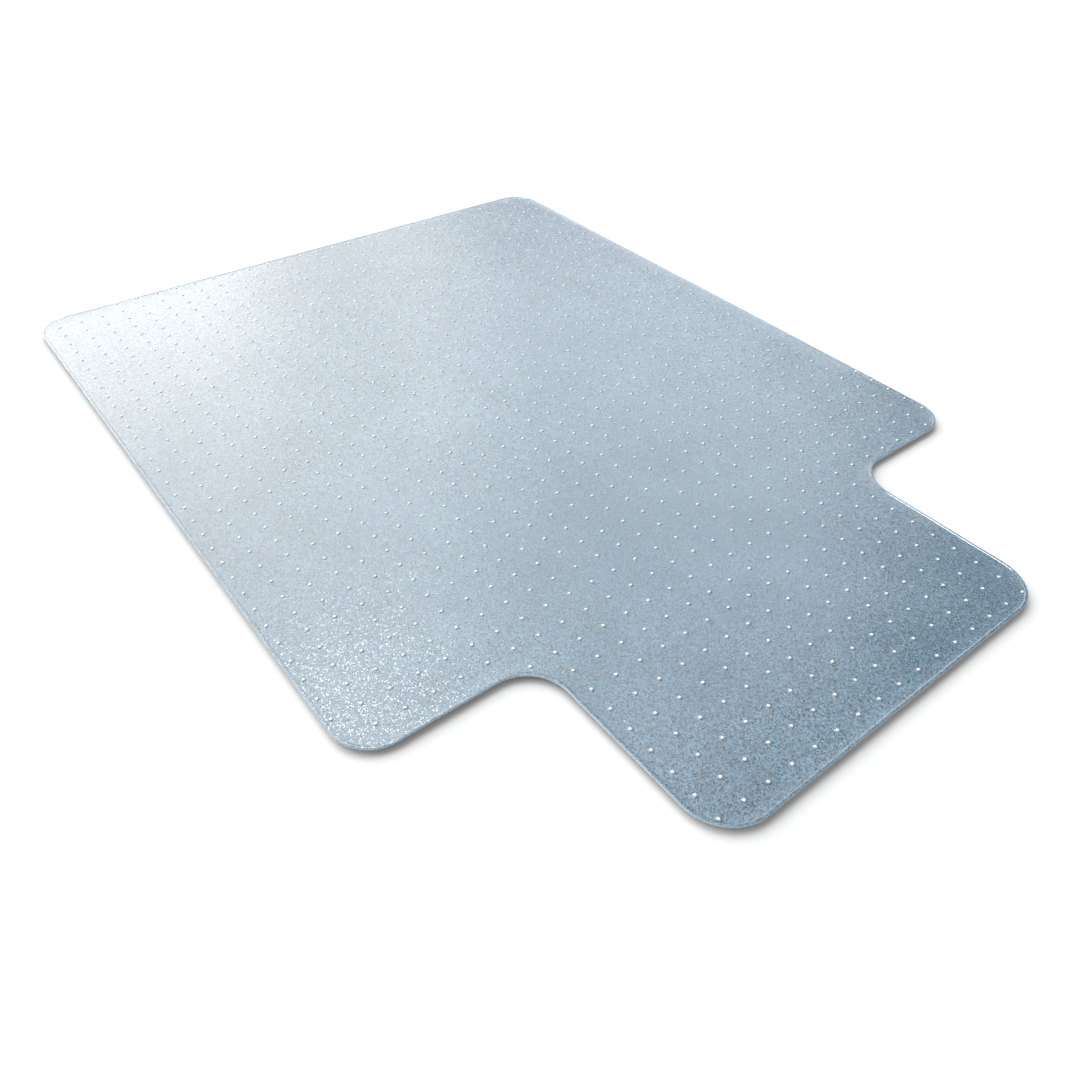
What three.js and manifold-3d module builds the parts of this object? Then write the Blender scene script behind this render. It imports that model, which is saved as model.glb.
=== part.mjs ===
// Chair mat for carpet: one moulding of clear blue-grey vinyl. It is a T-shaped sheet, whose narrow
// lip runs under the desk, with its upper edge eased all round and a grid of pointed cleats
// underneath that grip the carpet pile.
//
// Millimetres, +Z up. The origin is at the middle of the mat's outline, on the plane that the cleat
// tips stand on. The lip points along -Y, and the chair rolls on the top face.
import * as THREE from "three";
import { mergeGeometries, mergeVertices } from "three/addons/utils/BufferGeometryUtils.js";
import Module from "manifold-3d";

// Outline
const MAT_WIDTH = 914.4; // 36 in
const MAT_LENGTH = 1219.2; // 48 in, lip included
const LIP_WIDTH = 508; // 20 in
const LIP_LENGTH = 254; // 10 in
const BODY_CORNER_RADIUS = 45;
const LIP_CORNER_RADIUS = 53;
const INNER_CORNER_RADIUS = 48;
const CORNER_STEPS = 4; // an arc is drawn with twice as many straight steps

// Section through the sheet
const SHEET_THICKNESS = 2.5;
const EDGE_EASING = 0.6; // the upper edge of the cut face is taken off by this much
const CLEAT_HEIGHT = 4.8;
const MAT_HEIGHT = CLEAT_HEIGHT + SHEET_THICKNESS;
const TRIM_DEPTH = 2; // how far the blank runs below the sheet's underside before it is trimmed flat

// Cleats. The sheet is cut out of a longer web of moulded vinyl, so the grid lies a little turned
// and off centre, and the die leaves only the cleats that clear its edge.
const CLEAT_RADIUS = 3; // at the sheet's underside
const CLEAT_SIDES = 4;
const CLEAT_ROOT = 0.3; // how deep a cleat's root runs into the sheet
const CLEAT_PITCH_X = 31;
const CLEAT_PITCH_Y = 28.3;
const CLEAT_GRID_TURN = THREE.MathUtils.degToRad(-1.24);
const CLEAT_GRID_SHIFT = new THREE.Vector2(-8.2, 3.4);
const CLEAT_EDGE_MARGIN = 4.5; // from a cleat's axis to the cut edge, at least

const VINYL_COLOUR = 0x9fb4c3;
const VINYL_ROUGHNESS = 0.35;

const wasm = await Module();
wasm.setup();

// A closed three.js geometry as a solid that can be joined and cut.
function solidFrom(geometry) {
  geometry.deleteAttribute("normal");
  geometry.deleteAttribute("uv");
  const merged = mergeVertices(geometry);
  return new wasm.Manifold(
    new wasm.Mesh({
      numProp: 3,
      vertProperties: merged.attributes.position.array,
      triVerts: new Uint32Array(merged.index.array),
    }),
  );
}

function geometryFrom(solid) {
  const mesh = solid.getMesh();
  const geometry = new THREE.BufferGeometry();
  geometry.setAttribute("position", new THREE.BufferAttribute(mesh.vertProperties, mesh.numProp));
  geometry.setIndex(new THREE.BufferAttribute(mesh.triVerts, 1));
  geometry.computeVertexNormals();
  return geometry;
}

// The square corners of the T, counter-clockwise, drawn in by inset on every side.
function matCorners(inset) {
  const lip = LIP_WIDTH / 2 - inset;
  const side = MAT_WIDTH / 2 - inset;
  const front = -MAT_LENGTH / 2 + inset;
  const shoulder = front + LIP_LENGTH;
  const back = MAT_LENGTH / 2 - inset;
  const rightHalf = [
    { at: new THREE.Vector2(lip, front), radius: LIP_CORNER_RADIUS - inset },
    { at: new THREE.Vector2(lip, shoulder), radius: INNER_CORNER_RADIUS + inset },
    { at: new THREE.Vector2(side, shoulder), radius: BODY_CORNER_RADIUS - inset },
    { at: new THREE.Vector2(side, back), radius: BODY_CORNER_RADIUS - inset },
  ];
  const mirrored = ({ at, radius }) => ({ at: new THREE.Vector2(-at.x, at.y), radius });
  return [...rightHalf, ...rightHalf.map(mirrored).reverse()];
}

// The rounded outline of the mat, drawn in by inset.
function matOutline(inset = 0) {
  const corners = matCorners(inset);
  const outline = new THREE.Shape();
  corners.forEach(({ at, radius }, i) => {
    const before = corners.at(i - 1).at;
    const after = corners[(i + 1) % corners.length].at;
    const towardsBefore = before.clone().sub(at).setLength(radius);
    const towardsAfter = after.clone().sub(at).setLength(radius);
    const centre = at.clone().add(towardsBefore).add(towardsAfter);
    const startAngle = towardsAfter.clone().negate().angle();
    const endAngle = towardsBefore.clone().negate().angle();
    const clockwise = towardsAfter.cross(towardsBefore) < 0;
    outline.absarc(centre.x, centre.y, radius, startAngle, endAngle, clockwise);
  });
  outline.closePath();
  return outline;
}

// The sheet: a blank with its edges eased all round, whose lower side is then trimmed flat.
function sheetSolid() {
  const blank = new THREE.ExtrudeGeometry(matOutline(), {
    depth: TRIM_DEPTH + SHEET_THICKNESS - EDGE_EASING,
    curveSegments: CORNER_STEPS,
    bevelThickness: EDGE_EASING,
    bevelSize: EDGE_EASING,
    bevelOffset: -EDGE_EASING,
    bevelSegments: 1,
  });
  blank.translate(0, 0, CLEAT_HEIGHT - TRIM_DEPTH);
  const waste = new THREE.BoxGeometry(2 * MAT_WIDTH, 2 * MAT_LENGTH, 2 * CLEAT_HEIGHT);
  return solidFrom(blank).subtract(solidFrom(waste));
}

// True if the point lies inside the closed polygon: a ray from it crosses an odd number of sides.
function contains(polygon, point) {
  return polygon.reduce((inside, a, i) => {
    const b = polygon.at(i - 1);
    const straddles = a.y > point.y !== b.y > point.y;
    const crossing = a.x + ((b.x - a.x) * (point.y - a.y)) / (b.y - a.y);
    return straddles && point.x < crossing ? !inside : inside;
  }, false);
}

function cleatCentres() {
  const limit = matOutline(CLEAT_EDGE_MARGIN).getPoints(CORNER_STEPS);
  const columns = Math.ceil(MAT_WIDTH / 2 / CLEAT_PITCH_X) + 1;
  const rows = Math.ceil(MAT_LENGTH / 2 / CLEAT_PITCH_Y) + 1;
  const middle = new THREE.Vector2();
  const centres = [];
  for (let row = -rows; row <= rows; row += 1) {
    for (let column = -columns; column <= columns; column += 1) {
      const centre = new THREE.Vector2(column * CLEAT_PITCH_X, row * CLEAT_PITCH_Y);
      centre.rotateAround(middle, CLEAT_GRID_TURN).add(CLEAT_GRID_SHIFT);
      if (contains(limit, centre)) centres.push(centre);
    }
  }
  return centres;
}

// One cleat, point down, with its root inside the sheet.
function cleatGeometry(centre) {
  const height = CLEAT_HEIGHT + CLEAT_ROOT;
  const radius = (CLEAT_RADIUS * height) / CLEAT_HEIGHT;
  const cleat = new THREE.ConeGeometry(radius, height, CLEAT_SIDES);
  cleat.rotateX(-Math.PI / 2);
  cleat.translate(centre.x, centre.y, height / 2);
  return cleat;
}

function cleatsSolid() {
  return solidFrom(mergeGeometries(cleatCentres().map(cleatGeometry)));
}

const vinyl = new THREE.MeshStandardMaterial({
  color: VINYL_COLOUR,
  roughness: VINYL_ROUGHNESS,
  metalness: 0,
});

const moulding = new THREE.Mesh(geometryFrom(sheetSolid().add(cleatsSolid())), vinyl);
moulding.name = "mat_moulding";

const chairMat = new THREE.Group();
chairMat.add(moulding);

export default chairMat;
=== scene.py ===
"""Looks of the chair mat: one moulding of clear blue-grey vinyl on a plain pale floor, in metres.

The mesh is two height fields, the top face with its pips and the underside with its cleats.
Rows of faces along the edge join them: a low rim, an eased arris and the cut face.
"""

import math

import bpy
from mathutils import Matrix, Vector, noise
from mathutils.geometry import delaunay_2d_cdt


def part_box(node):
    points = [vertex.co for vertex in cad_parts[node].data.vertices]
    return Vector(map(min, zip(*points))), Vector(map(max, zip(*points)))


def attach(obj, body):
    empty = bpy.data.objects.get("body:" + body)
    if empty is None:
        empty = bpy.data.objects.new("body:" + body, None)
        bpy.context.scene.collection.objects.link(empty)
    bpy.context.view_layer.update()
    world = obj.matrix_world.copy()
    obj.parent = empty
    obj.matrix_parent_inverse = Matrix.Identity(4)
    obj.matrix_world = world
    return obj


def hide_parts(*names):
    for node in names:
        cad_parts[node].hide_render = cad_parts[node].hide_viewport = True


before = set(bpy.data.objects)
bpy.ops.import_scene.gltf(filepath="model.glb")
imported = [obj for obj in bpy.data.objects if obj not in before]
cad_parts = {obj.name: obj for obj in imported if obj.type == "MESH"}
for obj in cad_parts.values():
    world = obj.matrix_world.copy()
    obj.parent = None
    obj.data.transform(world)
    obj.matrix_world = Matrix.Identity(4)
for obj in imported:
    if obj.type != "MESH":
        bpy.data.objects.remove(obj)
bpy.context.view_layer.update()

# The mat's outline, as in the CAD model
MAT_NODE = "mat_moulding"
MAT_LOW, MAT_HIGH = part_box(MAT_NODE)
HALF_WIDTH = MAT_HIGH.x
FRONT = MAT_LOW.y
BACK = MAT_HIGH.y
HALF_LIP = 0.254
LIP_LENGTH = 0.254
SHOULDER = FRONT + LIP_LENGTH
BODY_RADIUS = 0.045
LIP_RADIUS = 0.053
INNER_RADIUS = 0.048
CORNER_STEPS = 16
EDGE_STEP = 0.012
# Longer than any edge, for an outline whose straight edges aren't divided
WHOLE_EDGE = 10.0

# Section through the sheet
TOP = MAT_HIGH.z
UNDERSIDE = 0.0048
EASING = 0.0006
EASING_STEPS = 3
LOWER_ARRIS = 0.0002
RIM_HEIGHT = 0.00037
# The low rim along the cut edge: distance from the edge, height, and 1 where it is plain, which
# means polished and without leaning facets
RIM_PROFILE = (
    (0.0037, 0.0, 0.0),
    (0.0036, 0.00001, 1.0),
    (0.0035, 0.00004, 1.0),
    (0.0027, 0.00033, 1.0),
    (0.0026, 0.00036, 1.0),
    (0.0025, RIM_HEIGHT, 0.0),
    (0.0010, RIM_HEIGHT, 0.0),
)

# Cleat grid, as in the CAD model
CLEAT_PITCH = Vector((0.031, 0.0283))
CLEAT_GRID_TURN = math.radians(-1.24)
CLEAT_GRID_SHIFT = Vector((-0.0082, 0.0034))
CLEAT_EDGE_MARGIN = 0.0045
CLEAT_SIDES = 8
# A cleat's section: distance from its axis, depth below the underside, how much of the painted highlight
# covers it
CLEAT_PROFILE = (
    (0.0, 0.0048, 1.0),
    (0.0005, 0.00462, 1.0),
    (0.0009, 0.0040, 1.0),
    (0.0026, 0.0005, 0.5),
    (0.0034, 0.0, 0.0),
)
# The low pip above each cleat: distance from its axis, height, how much of the painted highlight of the
# cleat below covers it
PIP_PROFILE = (
    (0.0, 0.0013, 1.0),
    (0.0008, 0.0012, 1.0),
    (0.0014, 0.00085, 0.7),
    (0.0020, 0.0004, 0.15),
    (0.0026, 0.0, 0.0),
    (0.0036, 0.0, 0.0),
)

# How the sheet lies: it lifts off the floor in long shallow swells
SWELL_HEIGHT = 0.0012
SWELL_SIZE = 0.32
RIPPLE_HEIGHT = 0.0004
RIPPLE_SIZE = 0.085
SWELL_SEED = Vector((3.1, 7.4, 0.0))
# Taken off the swell, so that the lowest cleats stand on the floor
SWELL_REST = 0.0003

# The mesh: triangles only inside the border, points nearer than this merged, sharp edges above this angle
TRIANGLES_INSIDE = 1
MERGE_DISTANCE = 1e-7
SHARP_ANGLE = math.radians(50)
UP = 1.0
DOWN = -1.0
# What each vertex says of itself: how much painted cleat highlight, how much painted edge glow, how plain
SHOWN = ("cleat_highlight", "edge_glow", "plain")

# The vinyl's tints
TINT_DARK = (0.034, 0.080, 0.126, 1.0)
TINT_LIGHT = (0.052, 0.104, 0.152, 1.0)
# Painted highlight: the cleats and the pips above them are painted pale for light reflected inside the
# clear cleats
CLEAT_HIGHLIGHT_TINT = (0.56, 0.61, 0.64, 1.0)
# Painted glow: the eased arris and the cut face are painted pale for light carried through the clear
# sheet out of its edge
EDGE_GLOW_TINT = (0.34, 0.48, 0.59, 1.0)
CLOUD_SCALE = 9.0
CLOUD_DETAIL = 3.0
CLOUD_RANGE = (0.3, 0.7)
# Specks darken and lighten the tint by these factors, over this range of their noise
SPECK_SCALE = 680.0
SPECK_DETAIL = 0.0
SPECK_RANGE = (0.25, 0.75)
SPECK_FACTORS = (0.3, 1.7)

# The vinyl's surface: satin, with small round polished facets that lean their own way
FACET_SCALE = 620.0
FACET_RADIUS = 0.45
FACET_TILT = 0.14
CELL_COLOUR_MIDDLE = (0.5, 0.5, 0.5)
NO_LEAN = (0.0, 0.0, 0.0)
ROUGHNESS = 0.33
FACET_ROUGHNESS = 0.10
FROM_NONE_TO_ALL = (0.0, 1.0)
TRANSMISSION = 0.35
VINYL_IOR = 1.53

# Floor: half its side, its level, its look
FLOOR_HALF_SIDE = 60.0
FLOOR_LEVEL = -0.0002
FLOOR_TINT = (0.350, 0.364, 0.381, 1.0)
FLOOR_ROUGHNESS = 0.9
FLOOR_SPECULAR = 0.0

# Far soft lights: azimuth from +Y towards +X, elevation and diameter in degrees, strength, colour.
# The halo shares the key's centre and softens its edge. The overhead light is mirrored in the rim
# along the lip's right edge, and the glint in the facets of the near left corner.
WARM = (1.0, 0.97, 0.93)
COOL = (0.92, 0.97, 1.0)
WHITE = (1.0, 1.0, 1.0)
LIGHTS = {
    "key": (-22.0, 24.0, 78.0, 5.2, WARM),
    "halo": (-22.0, 24.0, 101.0, 5.3, WARM),
    "side": (45.0, 41.0, 38.0, 1.5, COOL),
    "overhead": (43.0, 67.8, 10.5, 0.70, WHITE),
    "glint": (20.0, 55.0, 8.0, 0.36, WHITE),
    "fill": (210.0, 30.0, 60.0, 1.3, WHITE),
}
WORLD_STRENGTH = 0.85
WORLD_COLOUR = (1.0, 0.90, 0.82, 1.0)

# Camera: its place, the direction from the view's middle back to it, its roll and lens
CAMERA_PLACE = Vector((-0.6168, -0.7968, 0.6843))
CAMERA_AZIMUTH = 219.37
CAMERA_ELEVATION = 42.16
CAMERA_ROLL = math.radians(2.0)
CAMERA_LENS = 29.68


# Outline


def corner_list(inset):
    """The square corners of the T, counter-clockwise, with their radii, drawn in by inset."""
    half = [
        (HALF_LIP - inset, FRONT + inset, LIP_RADIUS - inset),
        (HALF_LIP - inset, SHOULDER + inset, INNER_RADIUS + inset),
        (HALF_WIDTH - inset, SHOULDER + inset, BODY_RADIUS - inset),
        (HALF_WIDTH - inset, BACK - inset, BODY_RADIUS - inset),
    ]
    return half + [(-x, y, radius) for x, y, radius in reversed(half)]


def rounded_corner(before, corner, after):
    """The points of one corner's arc."""
    at = Vector(corner[:2])
    radius = corner[2]
    to_before = (Vector(before[:2]) - at).normalized() * radius
    to_after = (Vector(after[:2]) - at).normalized() * radius
    centre = at + to_before + to_after
    points = []
    for step in range(CORNER_STEPS + 1):
        angle = math.pi / 2 * step / CORNER_STEPS
        points.append(centre - to_after * math.cos(angle) - to_before * math.sin(angle))
    return points


def outline(inset, edge_step=EDGE_STEP):
    """The mat's outline as points, drawn in by inset.

    Straight edges are divided as the full outline's are, so the points of two outlines match.
    """
    corners = corner_list(inset)
    full = corner_list(0.0)
    count = len(corners)
    arcs = [rounded_corner(corners[i - 1], corners[i], corners[(i + 1) % count]) for i in range(count)]
    points = []
    for i, arc in enumerate(arcs):
        after = (i + 1) % count
        run = (Vector(full[after][:2]) - Vector(full[i][:2])).length
        pieces = max(1, round(run / edge_step))
        points += arc + [arc[-1].lerp(arcs[after][0], k / pieces) for k in range(1, pieces)]
    return points


def inside(polygon, point):
    """True if the point lies in the polygon: a ray from it crosses an odd number of sides."""
    found = False
    for i, a in enumerate(polygon):
        b = polygon[i - 1]
        if (a.y > point.y) != (b.y > point.y):
            crossing = a.x + (b.x - a.x) * (point.y - a.y) / (b.y - a.y)
            if point.x < crossing:
                found = not found
    return found


def cleat_centres():
    """Where the cleats stand, those that the cut edge clears."""
    limit = outline(CLEAT_EDGE_MARGIN, edge_step=WHOLE_EDGE)
    turn = Matrix.Rotation(CLEAT_GRID_TURN, 2)
    columns = math.ceil(HALF_WIDTH / CLEAT_PITCH.x) + 1
    rows = math.ceil(BACK / CLEAT_PITCH.y) + 1
    centres = []
    for row in range(-rows, rows + 1):
        for column in range(-columns, columns + 1):
            point = turn @ Vector((column * CLEAT_PITCH.x, row * CLEAT_PITCH.y)) + CLEAT_GRID_SHIFT
            if inside(limit, point):
                centres.append(point)
    return centres


# Mesh. A vertex is its place and its three values of SHOWN.


def waves(x, y, size, height):
    """Smooth waves of about this size, between 0 and this height."""
    place = Vector((x, y, 0.0)) / size + SWELL_SEED
    return height * (noise.noise(place) + 1.0) / 2.0


def swell(x, y):
    """How far the sheet is raised here by the way it lies."""
    return waves(x, y, SWELL_SIZE, SWELL_HEIGHT) + waves(x, y, RIPPLE_SIZE, RIPPLE_HEIGHT) - SWELL_REST


def rings(centres, profile):
    """Rings of points round each centre, as (x, y, height, how much of the painted cleat highlight they
    have).
    """
    points = []
    for number, centre in enumerate(centres):
        # Every other one is turned by half a side
        turn = 0.5 * (number % 2)
        for radius, height, cleat_highlight in profile:
            for k in range(CLEAT_SIDES if radius else 1):
                angle = 2 * math.pi * (k + turn) / CLEAT_SIDES
                x = centre.x + radius * math.cos(angle)
                y = centre.y + radius * math.sin(angle)
                points.append((x, y, height, cleat_highlight))
    return points


def height_field(loop, points, level, sign):
    """A face within the loop, its points raised or lowered from its level.

    Gives its vertices, its triangles, and the row of vertices along the loop.
    """
    flat = list(loop) + [Vector(point[:2]) for point in points]
    raised = [(0.0, 0.0)] * len(loop) + [point[2:] for point in points]
    border = [list(range(len(loop)))]
    result = delaunay_2d_cdt(flat, [], border, TRIANGLES_INSIDE, MERGE_DISTANCE)
    places, _, triangles, sources, _, _ = result
    vertices = []
    row = [None] * len(loop)
    for index, (place, source) in enumerate(zip(places, sources)):
        height, cleat_highlight = raised[source[0]] if source else (0.0, 0.0)
        z = level + sign * height + swell(place.x, place.y)
        vertices.append((Vector((place.x, place.y, z)), cleat_highlight, 0.0, 0.0))
        if source and source[0] < len(loop):
            row[source[0]] = index
    return vertices, triangles, row


def edge_section():
    """The edge's section from the top face to the underside, as (inset, z, how much painted glow, how
    plain).
    """
    section = [(inset, TOP + height, 0.0, plain) for inset, height, plain in RIM_PROFILE]
    for step in range(EASING_STEPS + 1):
        angle = math.pi / 2 * step / EASING_STEPS
        fall = RIM_HEIGHT - EASING * (1 - math.cos(angle))
        section.append((EASING * (1 - math.sin(angle)), TOP + fall, step / EASING_STEPS, 0.0))
    section.append((0.0, UNDERSIDE + LOWER_ARRIS, 1.0, 0.0))
    section.append((LOWER_ARRIS, UNDERSIDE, 0.0, 0.0))
    return section


def edge_row(loop, z, edge_glow, plain):
    """The vertices of one row along the edge."""
    return [(Vector((p.x, p.y, z + swell(p.x, p.y))), 0.0, edge_glow, plain) for p in loop]


def strip(upper, lower):
    """The four-sided faces between two closed rows."""
    return list(zip(upper, lower, lower[1:] + lower[:1], upper[1:] + upper[:1]))


def mat_skin():
    """The vertices and faces of the whole mat."""
    section = edge_section()
    loops = [outline(level[0]) for level in section]
    centres = cleat_centres()
    vertices, faces, row = height_field(loops[0], rings(centres, PIP_PROFILE), TOP, UP)
    rows = [row]
    for loop, level in zip(loops[1:-1], section[1:-1]):
        rows.append(list(range(len(vertices), len(vertices) + len(loop))))
        vertices += edge_row(loop, *level[1:])
    field = height_field(loops[-1], rings(centres, CLEAT_PROFILE), UNDERSIDE, DOWN)
    below, below_faces, row = field
    start = len(vertices)
    rows.append([start + k for k in row])
    vertices += below
    faces += [[start + k for k in reversed(face)] for face in below_faces]
    for upper, lower in zip(rows, rows[1:]):
        faces += strip(upper, lower)
    return vertices, faces


def build_mat(material):
    """The mat as an object, with its SHOWN values as attributes that the material reads."""
    vertices, faces = mat_skin()
    mesh = bpy.data.meshes.new("vinyl_mat")
    mesh.from_pydata([vertex[0] for vertex in vertices], [], faces)
    mesh.validate()
    for number, name in enumerate(SHOWN, 1):
        values = [vertex[number] for vertex in vertices]
        mesh.attributes.new(name, "FLOAT", "POINT").data.foreach_set("value", values)
    mesh.materials.append(material)
    mesh.shade_smooth()
    mesh.set_sharp_from_angle(angle=SHARP_ANGLE)
    mat = bpy.data.objects.new("vinyl_mat", mesh)
    bpy.context.scene.collection.objects.link(mat)
    return mat


# Material nodes


def new_material(name):
    """A material, its node tree and its surface shader."""
    material = bpy.data.materials.new(name)
    material.use_nodes = True
    tree = material.node_tree
    return material, tree, tree.nodes["Principled BSDF"]


def feed(tree, value, socket):
    """Link another node's output to the socket, or set the socket's own value."""
    if isinstance(value, bpy.types.NodeSocket):
        tree.links.new(value, socket)
    else:
        socket.default_value = value


def worked_out(tree, kind, operation, *values):
    """The result of a maths node."""
    node = tree.nodes.new(kind)
    node.operation = operation
    for value, socket in zip(values, node.inputs):
        feed(tree, value, socket)
    return node.outputs[0]


def scaled(tree, vector, factor):
    """A vector or colour times a factor."""
    node = tree.nodes.new("ShaderNodeVectorMath")
    node.operation = "SCALE"
    feed(tree, vector, node.inputs[0])
    feed(tree, factor, node.inputs["Scale"])
    return node.outputs[0]


def mixed(tree, kind, amount, first, second):
    """A mix of two colours or vectors, from the first to the second."""
    node = tree.nodes.new("ShaderNodeMix")
    node.data_type = kind
    feed(tree, amount, node.inputs["Factor"])
    feed(tree, first, node.inputs["A"])
    feed(tree, second, node.inputs["B"])
    return node.outputs["Result"]


def remapped(tree, value, old_range, new_range):
    """A value carried from the old range to the new one."""
    node = tree.nodes.new("ShaderNodeMapRange")
    names = ("From Min", "From Max", "To Min", "To Max")
    for name, number in zip(names, old_range + new_range):
        node.inputs[name].default_value = number
    tree.links.new(value, node.inputs["Value"])
    return node.outputs["Result"]


def noise_texture(tree, place, scale, detail):
    node = tree.nodes.new("ShaderNodeTexNoise")
    node.inputs["Scale"].default_value = scale
    node.inputs["Detail"].default_value = detail
    tree.links.new(place, node.inputs["Vector"])
    return node.outputs["Fac"]


def attribute(tree, name):
    node = tree.nodes.new("ShaderNodeAttribute")
    node.attribute_name = name
    return node.outputs["Fac"]


# Materials


def cloudy_tint(tree, place):
    """The vinyl's own colour: soft clouds between two tints, with fine specks."""
    clouds = tree.nodes.new("ShaderNodeValToRGB")
    stops = zip(clouds.color_ramp.elements, CLOUD_RANGE, (TINT_DARK, TINT_LIGHT))
    for stop, position, tint in stops:
        stop.position = position
        stop.color = tint
    tree.links.new(noise_texture(tree, place, CLOUD_SCALE, CLOUD_DETAIL), clouds.inputs["Fac"])
    specks = noise_texture(tree, place, SPECK_SCALE, SPECK_DETAIL)
    return scaled(tree, clouds.outputs["Color"], remapped(tree, specks, SPECK_RANGE, SPECK_FACTORS))


def facets(tree, place):
    """Small round facets: where they are, and how each leans."""
    cells = tree.nodes.new("ShaderNodeTexVoronoi")
    cells.inputs["Scale"].default_value = FACET_SCALE
    tree.links.new(place, cells.inputs["Vector"])
    distance, colour = cells.outputs["Distance"], cells.outputs["Color"]
    picked = worked_out(tree, "ShaderNodeMath", "LESS_THAN", distance, FACET_RADIUS)
    centred = worked_out(tree, "ShaderNodeVectorMath", "SUBTRACT", colour, CELL_COLOUR_MIDDLE)
    lean = mixed(tree, "VECTOR", picked, NO_LEAN, scaled(tree, centred, FACET_TILT))
    return picked, lean


def leaning_normal(tree, lean, plain):
    """The surface's normal, leaning with the facets where the surface isn't plain."""
    amount = worked_out(tree, "ShaderNodeMath", "SUBTRACT", 1.0, plain)
    normal = tree.nodes.new("ShaderNodeNewGeometry").outputs["Normal"]
    leaning = worked_out(tree, "ShaderNodeVectorMath", "MULTIPLY_ADD", lean, amount, normal)
    return worked_out(tree, "ShaderNodeVectorMath", "NORMALIZE", leaning)


def clear_vinyl():
    """Blue-grey vinyl: cloudy, satin with polished facets, with a painted highlight at the cleats and a
    painted glow along the cut edge.
    """
    material, tree, surface = new_material("clear_vinyl")
    place = tree.nodes.new("ShaderNodeTexCoord").outputs["Object"]
    cleat_highlight, edge_glow, plain = (attribute(tree, name) for name in SHOWN)
    # Painted highlight at the cleats and painted glow at the cut edge, laid over the vinyl's own tint
    colour = mixed(tree, "RGBA", cleat_highlight, cloudy_tint(tree, place), CLEAT_HIGHLIGHT_TINT)
    colour = mixed(tree, "RGBA", edge_glow, colour, EDGE_GLOW_TINT)
    picked, lean = facets(tree, place)
    polished = worked_out(tree, "ShaderNodeMath", "MAXIMUM", picked, plain)
    roughness = remapped(tree, polished, FROM_NONE_TO_ALL, (ROUGHNESS, FACET_ROUGHNESS))
    tree.links.new(colour, surface.inputs["Base Color"])
    tree.links.new(leaning_normal(tree, lean, plain), surface.inputs["Normal"])
    tree.links.new(roughness, surface.inputs["Roughness"])
    surface.inputs["Transmission Weight"].default_value = TRANSMISSION
    surface.inputs["IOR"].default_value = VINYL_IOR
    return material


def pale_floor():
    material, _, surface = new_material("pale_floor")
    surface.inputs["Base Color"].default_value = FLOOR_TINT
    surface.inputs["Roughness"].default_value = FLOOR_ROUGHNESS
    surface.inputs["Specular IOR Level"].default_value = FLOOR_SPECULAR
    return material


# Stage


def build_floor(material):
    side = FLOOR_HALF_SIDE
    mesh = bpy.data.meshes.new("floor")
    corners = [(-side, -side, 0.0), (side, -side, 0.0), (side, side, 0.0), (-side, side, 0.0)]
    mesh.from_pydata(corners, [], [(0, 1, 2, 3)])
    mesh.materials.append(material)
    floor = bpy.data.objects.new("floor", mesh)
    floor.location.z = FLOOR_LEVEL
    bpy.context.scene.collection.objects.link(floor)


def direction(azimuth, elevation):
    """A direction from its angles in degrees, with azimuth from +Y towards +X."""
    a = math.radians(azimuth)
    e = math.radians(elevation)
    return Vector((math.sin(a) * math.cos(e), math.cos(a) * math.cos(e), math.sin(e)))


def facing(towards):
    """The turn that makes a camera or light look this way, upright."""
    return towards.to_track_quat("-Z", "Y")


def add_camera():
    data = bpy.data.cameras.new("camera")
    data.lens = CAMERA_LENS
    camera = bpy.data.objects.new("camera", data)
    level = facing(-direction(CAMERA_AZIMUTH, CAMERA_ELEVATION))
    camera.rotation_mode = "QUATERNION"
    camera.rotation_quaternion = level @ Matrix.Rotation(CAMERA_ROLL, 3, "Z").to_quaternion()
    camera.location = CAMERA_PLACE
    bpy.context.scene.collection.objects.link(camera)
    bpy.context.scene.camera = camera


def add_sun(name, azimuth, elevation, diameter, strength, colour):
    """A far soft light."""
    data = bpy.data.lights.new(name, "SUN")
    data.angle = math.radians(diameter)
    data.energy = strength
    data.color = colour
    light = bpy.data.objects.new(name, data)
    light.rotation_mode = "QUATERNION"
    light.rotation_quaternion = facing(-direction(azimuth, elevation))
    bpy.context.scene.collection.objects.link(light)


def light_stage():
    world = bpy.data.worlds.new("studio")
    world.use_nodes = True
    background = world.node_tree.nodes["Background"]
    background.inputs["Color"].default_value = WORLD_COLOUR
    background.inputs["Strength"].default_value = WORLD_STRENGTH
    bpy.context.scene.world = world
    bpy.context.scene.view_settings.view_transform = "Standard"
    for name, values in LIGHTS.items():
        add_sun(name, *values)


add_camera()
light_stage()
build_floor(pale_floor())
mat = build_mat(clear_vinyl())
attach(mat, "root")
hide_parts(MAT_NODE)
